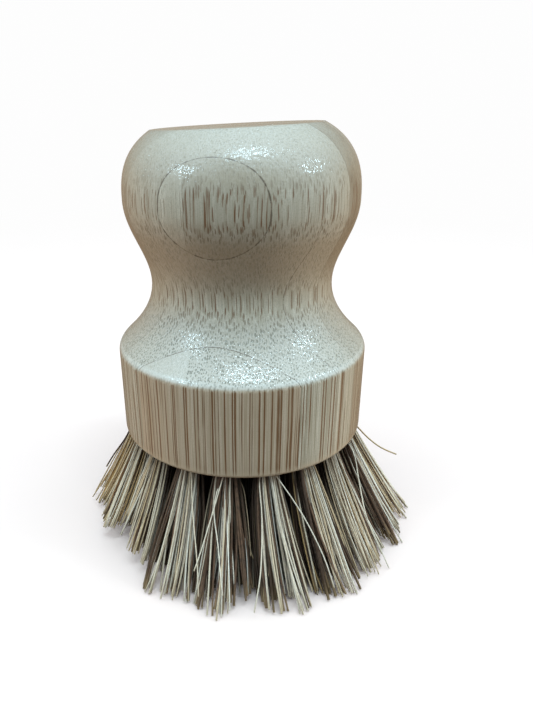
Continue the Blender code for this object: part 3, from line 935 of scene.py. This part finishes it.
class Fibre:
    """One fibre folded over the staple: where its two halves stand in the bundle, and its kind."""

    def __init__(self, draw, clumps, look):
        self.depth, self.width = place_in_bundle(draw)
        self.clump = min(clumps, key=lambda clump: hypot(self.depth - clump.depth,
                                                              self.width - clump.width))
        across = -self.width
        in_band = any(low <= across <= high for low, high in look.brown_bands)
        odd = draw.random() < ODD_SHARE + ODD_PER_BROWN_SHARE * look.brown_share
        self.brown = (in_band or self.clump.brown) != odd
        own_tone = draw.random() + look.tone_shift
        tone = CLUMP_TONE_SHARE * self.clump.tone + (1 - CLUMP_TONE_SHARE) * own_tone
        self.tone = min(1.0, max(0.0, tone - BAND_DARKER_SHARE * in_band))
        base = BROWN_RADIUS if self.brown else PALE_RADIUS
        self.radius = base * draw.uniform(1 - RADIUS_SPREAD_SHARE, 1 + 2 * RADIUS_SPREAD_SHARE)


def place_in_bundle(draw):
    """A random place in the outer half of a round bundle, as shares of its half depth and half width."""
    angle = draw.uniform(-pi / 2, pi / 2)
    reach = sqrt(draw.random())
    return reach * cos(angle), reach * sin(angle)


def tip_place(fibre, sign, draw):
    """Where a fibre's tip stands in the tuft, and whether the fibre is a stray."""
    clump = fibre.clump
    depth = sign * (OWN_PLACE_SHARE * fibre.depth + CLUMP_PLACE_SHARE * clump.depth) + clump.shift_depth
    width = OWN_PLACE_SHARE * fibre.width + CLUMP_PLACE_SHARE * clump.width + clump.shift_width
    stray = draw.random() < STRAYING_SHARE
    loose, limit = STRAY_TIP_SHARES if stray else USUAL_TIP_SHARES
    depth += draw.gauss(0.0, loose)
    width += draw.gauss(0.0, loose)
    shrink = min(1.0, limit / hypot(depth, width))
    return depth * shrink, width * shrink


def free_half(place, fibre, sign, draw, look):
    """The free half of a fibre, as points from the hole's mouth to the tip."""
    control = place.mouth + place.axis * (BRISTLE_LENGTH / 2)
    depth = sign * fibre.depth
    width = fibre.width
    tip_depth, tip_width = tip_place(fibre, sign, draw)
    bow_depth = draw.gauss(0.0, BOW_SHARE)
    bow_width = draw.gauss(0.0, BOW_SHARE)
    short = fibre.clump.short + draw.expovariate(1.0) * TIP_RAGGED + look.cut_at(-tip_width)
    if draw.random() < BROKEN_SHARE:
        short += draw.uniform(*BROKEN_OFF_SHARES) * BRISTLE_LENGTH
    missing = min(MOST_MISSING_SHARE * BRISTLE_LENGTH, short) + LOWEST_TIP
    end = 1 - missing / BRISTLE_LENGTH
    points = []
    for step in shares_of_one(FREE_STEPS):
        share = step * end
        centre = bend(place.mouth, control, look.tip, share)
        spread = share ** FAN_POWER
        half_depth = BUNDLE_RADIUS + (TIP_STEP / 2 - BUNDLE_RADIUS) * spread
        half_width = BUNDLE_RADIUS + (place.tip_half_width - BUNDLE_RADIUS) * spread
        swing = 4 * share * (1 - share)
        at_depth = depth + (tip_depth - depth) * share + bow_depth * swing
        at_width = width + (tip_width - width) * share + bow_width * swing
        side = place.side.lerp(place.outward, share).normalized()
        points.append(centre + side * (at_depth * half_depth) + place.across * (at_width * half_width))
    return points


def fold(place, fibre):
    """The part of a fibre in its hole: up one side, over the staple's crown and down the other."""
    inner = WIRE_RADIUS + fibre.radius
    reach = inner + (BUNDLE_RADIUS - inner) * fibre.depth
    width = fibre.width * FOLD_HALF_WIDTH
    points = []
    for step in shares_of_one(FOLD_STEPS):
        angle = step * pi
        points.append(place.crown + place.side * (reach * cos(angle))
                      - place.axis * (reach * sin(angle)) + place.across * width)
    wider = fibre.width * (BUNDLE_RADIUS - FOLD_HALF_WIDTH) / 2
    half_way = place.axis * (CROWN_TO_MOUTH / 2) + place.across * wider
    return [points[0] + half_way] + points + [points[-1] + half_way]


def tube(path, radius, across):
    """Rings of vertices round a path. across is never along the path."""
    path = np.array(path)
    tangent = np.gradient(path, axis=0)
    tangent /= np.linalg.norm(tangent, axis=1)[:, None]
    width = across - (tangent @ across)[:, None] * tangent
    width /= np.linalg.norm(width, axis=1)[:, None]
    depth = np.cross(tangent, width)
    angles = 2 * pi * np.arange(FIBRE_SIDES)[:, None] / FIBRE_SIDES
    offset = np.cos(angles) * depth[:, None] + np.sin(angles) * width[:, None]
    return (path[:, None] + offset * radius).reshape(-1, 3)


def tube_faces(first, rings):
    """Faces of one tube whose vertices start at first, with both ends closed."""
    faces = []
    for ring in range(rings - 1):
        low = first + ring * FIBRE_SIDES
        for side in range(FIBRE_SIDES):
            after = (side + 1) % FIBRE_SIDES
            faces.append((low + side, low + after, low + FIBRE_SIDES + after, low + FIBRE_SIDES + side))
    last = first + (rings - 1) * FIBRE_SIDES
    faces.append(tuple(reversed(range(first, first + FIBRE_SIDES))))
    faces.append(tuple(range(last, last + FIBRE_SIDES)))
    return faces


def stray_path(place, points):
    """From the hole's mouth, smoothly through the given points."""
    knots = [place.mouth]
    for azimuth, radius, height in points:
        knots.append((outward_at(radians(azimuth)) * radius + UP * height) * MM)
    path = []
    for index in range(len(knots) - 1):
        before = knots[max(index - 1, 0)]
        start = knots[index]
        end = knots[index + 1]
        after = knots[min(index + 2, len(knots) - 1)]
        square = before * 2 - start * 5 + end * 4 - after
        cube = start * 3 - before - end * 3 + after
        for share in shares_of_one(STRAY_STEPS)[:-1]:
            path.append(start + ((end - before) * share + square * share ** 2 + cube * share ** 3) / 2)
    return path + [knots[-1]]


def tube_mesh(name, tubes, across):
    """All the tubes of one tuft. Each has its path and radius, and then its FIBRE_VALUES."""
    verts = []
    faces = []
    shares = {entry: [] for entry in FIBRE_VALUES}
    for path, radius, *values in tubes:
        faces += tube_faces(len(verts), len(path))
        verts += tube(path, radius, across).tolist()
        for entry, value in zip(FIBRE_VALUES, values):
            shares[entry] += np.repeat(np.full(len(path), value, float), FIBRE_SIDES).tolist()
    mesh = bpy.data.meshes.new(name)
    mesh.from_pydata(verts, [], faces)
    for entry in FIBRE_VALUES:
        mesh.attributes.new(entry, "FLOAT", "POINT").data.foreach_set("value", shares[entry])
    return mesh


def add_tuft(place, number, finish):
    draw = random.Random(FIRST_SEED + number)
    look = TuftLook(place)
    clumps = [Clump(draw, look) for _ in range(CLUMPS)]
    tubes = []
    out = shares_of_one(FREE_STEPS)
    along = list(reversed(out)) + [0.0] * (FOLD_STEPS + 3) + out
    for _ in range(FOLDED_FIBRES):
        fibre = Fibre(draw, clumps, look)
        # Painted shade: the far half of a fibre is deep in the brush, and so is the near half in the inner
        # rings.
        near_painted_shade = 1.0
        if place.ring == RING_COUNT:
            near_painted_shade = OUTER_PAINTED_SHADE_SHARE * (1.0 - fibre.depth) ** 2 * abs(place.outward.y)
        inner = [near_painted_shade] * (len(along) - len(out)) + [1.0] * len(out)
        near = free_half(place, fibre, 1, draw, look)
        far = free_half(place, fibre, -1, draw, look)
        path = list(reversed(near)) + fold(place, fibre) + far
        tubes.append((path, fibre.radius, fibre.brown, fibre.tone, along, inner))
    for tuft, brown, tone, radius, points in STRAYS:
        if tuft == place.name:
            path = stray_path(place, points)
            tubes.append((path, radius * MM, brown, tone, shares_of_one(len(path) - 1), 0.0))
    name = f"fibres_{place.name}"
    item = new_object(name, tube_mesh(name, tubes, np.array(place.across)), finish)
    smooth(item.data, FIBRE_SHARP_ANGLE)
    ride_as(item, "fibre", f"tuft_{place.name}")


# Stage.

PAPER = (0.985, 0.985, 0.985, 1.0)
DISC_SIDES = 64
FLOOR_RADIUS = 4.0
FLOOR_COLOURS = ((0.92, 0.675, 0.58), (0.94, 0.69, 0.595))
FLOOR_MOTTLES_PER_METRE = 40.0
FLOOR_FADE_RAMP = (0.08, 0.45)
FLOOR_ROUGHNESS = 0.9
FLOOR_SHEEN = 0.1
BACKDROP_RADIUS = 4.2
BACKDROP_SUBDIVISIONS = 3
SHADE_RADIUS = 42.0 * MM
SHADE_COLOUR = (0.12, 0.09, 0.07, 1.0)

# Azimuth is counted from the front to the right, and both angles are in degrees. Each glow of the room
# has its azimuth, elevation and colour.
GLOW_FOCUS = 6.0
ROOM_GLOWS = (
    (0.0, 90.0, (0.95, 1.3, 1.6)),
    (-72.0, 45.0, (1.3, 1.72, 1.95)),
    (72.0, 45.0, (1.4, 1.85, 2.1)),
    (180.0, 60.0, (0.35, 0.65, 0.85)),
    (180.0, 0.0, (0.34, 0.24, 0.15)),
    (-120.0, 0.0, (0.42, 0.29, 0.17)),
    (120.0, 0.0, (0.47, 0.34, 0.2)),
    (-90.0, -45.0, (0.6, 0.4, 0.24)),
    (90.0, -45.0, (0.74, 0.54, 0.34)),
)

# Each lamp has its azimuth, elevation, width and height in metres, and power in watts.
LAMP_DISTANCE = 0.8
LAMP_COLOUR = (0.59, 0.84, 1.0)
LAMPS = {
    "main": (14.0, 68.0, 0.38, 0.06, 2.5),
    "left": (-60.0, 33.0, 0.1, 0.07, 0.82),
    "right": (76.0, 31.0, 0.09, 0.07, 0.9),
}


def direction(azimuth, elevation):
    rise = radians(elevation)
    return outward_at(radians(azimuth)) * cos(rise) + UP * sin(rise)


def stage_only(item):
    """A stage piece that the camera sees, and that neither lights the brush nor shades it."""
    for ray in ("diffuse", "glossy", "transmission", "shadow"):
        setattr(item, f"visible_{ray}", False)


def disc(radius):
    bm = bmesh.new()
    bmesh.ops.create_circle(bm, cap_ends=True, segments=DISC_SIDES, radius=radius)
    return bm


def add_floor():
    """A pale floor that takes the brush's shadow, and turns into the plain backdrop further out."""
    nodes = Nodes("floor")
    place = nodes.object_place()
    mottle = nodes.noise(place, FLOOR_MOTTLES_PER_METRE, 3.0)[0]
    nodes.fill(nodes.shader, {
        "Base Color": nodes.mix(mottle, *FLOOR_COLOURS),
        "Roughness": FLOOR_ROUGHNESS,
        "Specular IOR Level": FLOOR_SHEEN,
    })
    fade = nodes.ramp(nodes.vector("LENGTH", place), *FLOOR_FADE_RAMP)
    glow = nodes.add("Emission", PAPER).outputs[0]
    both = nodes.add("MixShader", fade, nodes.shader.outputs[0], glow)
    nodes.surface(both.outputs[0])
    stage_only(object_from("floor", disc(FLOOR_RADIUS), nodes.owner))


def add_ground_shade():
    """A dark disc that the camera can't see. It keeps the light from below out of the tufts."""
    nodes = Nodes("ground_shade")
    nodes.fill(nodes.shader, {"Base Color": SHADE_COLOUR, "Roughness": FLOOR_ROUGHNESS})
    shade = object_from("ground_shade", disc(SHADE_RADIUS), nodes.owner)
    shade.visible_camera = False
    shade.location.z = -LOWEST_TIP


def add_backdrop():
    bm = bmesh.new()
    bmesh.ops.create_icosphere(bm, subdivisions=BACKDROP_SUBDIVISIONS, radius=BACKDROP_RADIUS)
    nodes = Nodes("backdrop")
    nodes.surface(nodes.add("Emission", PAPER).outputs[0])
    stage_only(object_from("backdrop", bm, nodes.owner))


def add_room():
    """Soft light from all round: cool from above and from high on both sides, warm from low down."""
    nodes = Nodes("room", world=True)
    place = nodes.add("TexCoord").outputs["Generated"]
    total = (0.0, 0.0, 0.0)
    for azimuth, elevation, colour in ROOM_GLOWS:
        facing = nodes.vector("DOT_PRODUCT", place, direction(azimuth, elevation))
        strength = nodes.math("EXPONENT", nodes.math("MULTIPLY_ADD", facing, GLOW_FOCUS, -GLOW_FOCUS))
        total = nodes.vector("MULTIPLY_ADD", strength, colour, total)
    nodes.link(total, nodes.tree.nodes["Background"].inputs["Color"])
    bpy.context.scene.world = nodes.owner


def add_lamps():
    """A lamp high in front and a smaller one on each side, which the lacquer mirrors."""
    middle = UP * (BRISTLE_LENGTH + HANDLE_HEIGHT / 2)
    for name, (azimuth, elevation, width, height, power) in LAMPS.items():
        away = direction(azimuth, elevation)
        lamp = bpy.data.lights.new(name, "AREA")
        lamp.shape = "RECTANGLE"
        lamp.size = width
        lamp.size_y = height
        lamp.energy = power
        lamp.color = LAMP_COLOUR
        item = new_object(name, lamp)
        item.location = middle + away * LAMP_DISTANCE
        item.rotation_euler = away.to_track_quat("Z", "Y").to_euler()


def add_camera():
    data = bpy.data.cameras.new("camera")
    data.sensor_fit = "VERTICAL"
    data.sensor_height = SENSOR
    data.sensor_width = SENSOR * PHOTO_WIDTH / PHOTO_HEIGHT
    data.lens = FOCAL_PIXELS * SENSOR / PHOTO_HEIGHT
    data.shift_x = (PHOTO_WIDTH / 2 - AXIS_COLUMN) / PHOTO_HEIGHT
    data.clip_start = CAMERA_NEAR
    camera = new_object("camera", data)
    camera.location = (0.0, -CAMERA_TO_AXIS, CAMERA_HEIGHT)
    camera.rotation_euler = (pi / 2 - CAMERA_PITCH, 0.0, 0.0)
    camera.matrix_world = camera.matrix_basis @ Matrix.Rotation(CAMERA_ROLL, 4, "Z")
    bpy.context.scene.camera = camera
    bpy.context.scene.view_settings.view_transform = "Standard"


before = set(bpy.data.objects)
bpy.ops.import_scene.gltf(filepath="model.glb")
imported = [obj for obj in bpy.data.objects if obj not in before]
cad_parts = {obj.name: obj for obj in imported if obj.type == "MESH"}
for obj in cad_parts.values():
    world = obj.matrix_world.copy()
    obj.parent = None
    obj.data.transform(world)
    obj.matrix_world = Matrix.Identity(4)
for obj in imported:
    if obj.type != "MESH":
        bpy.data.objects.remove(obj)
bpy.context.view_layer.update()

places = tuft_places()
add_boards(places)
fibre = fibre_finish()
wire = wire_finish()
for number, place in enumerate(places):
    add_tuft(place, number, fibre)
    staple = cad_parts.get(f"staple_{place.name}")
    if staple is None:
        add_staple(place, wire)
    else:
        staple.data.materials.clear()
        staple.data.materials.append(wire)
add_floor()
add_ground_shade()
add_backdrop()
add_room()
add_lamps()
add_camera()
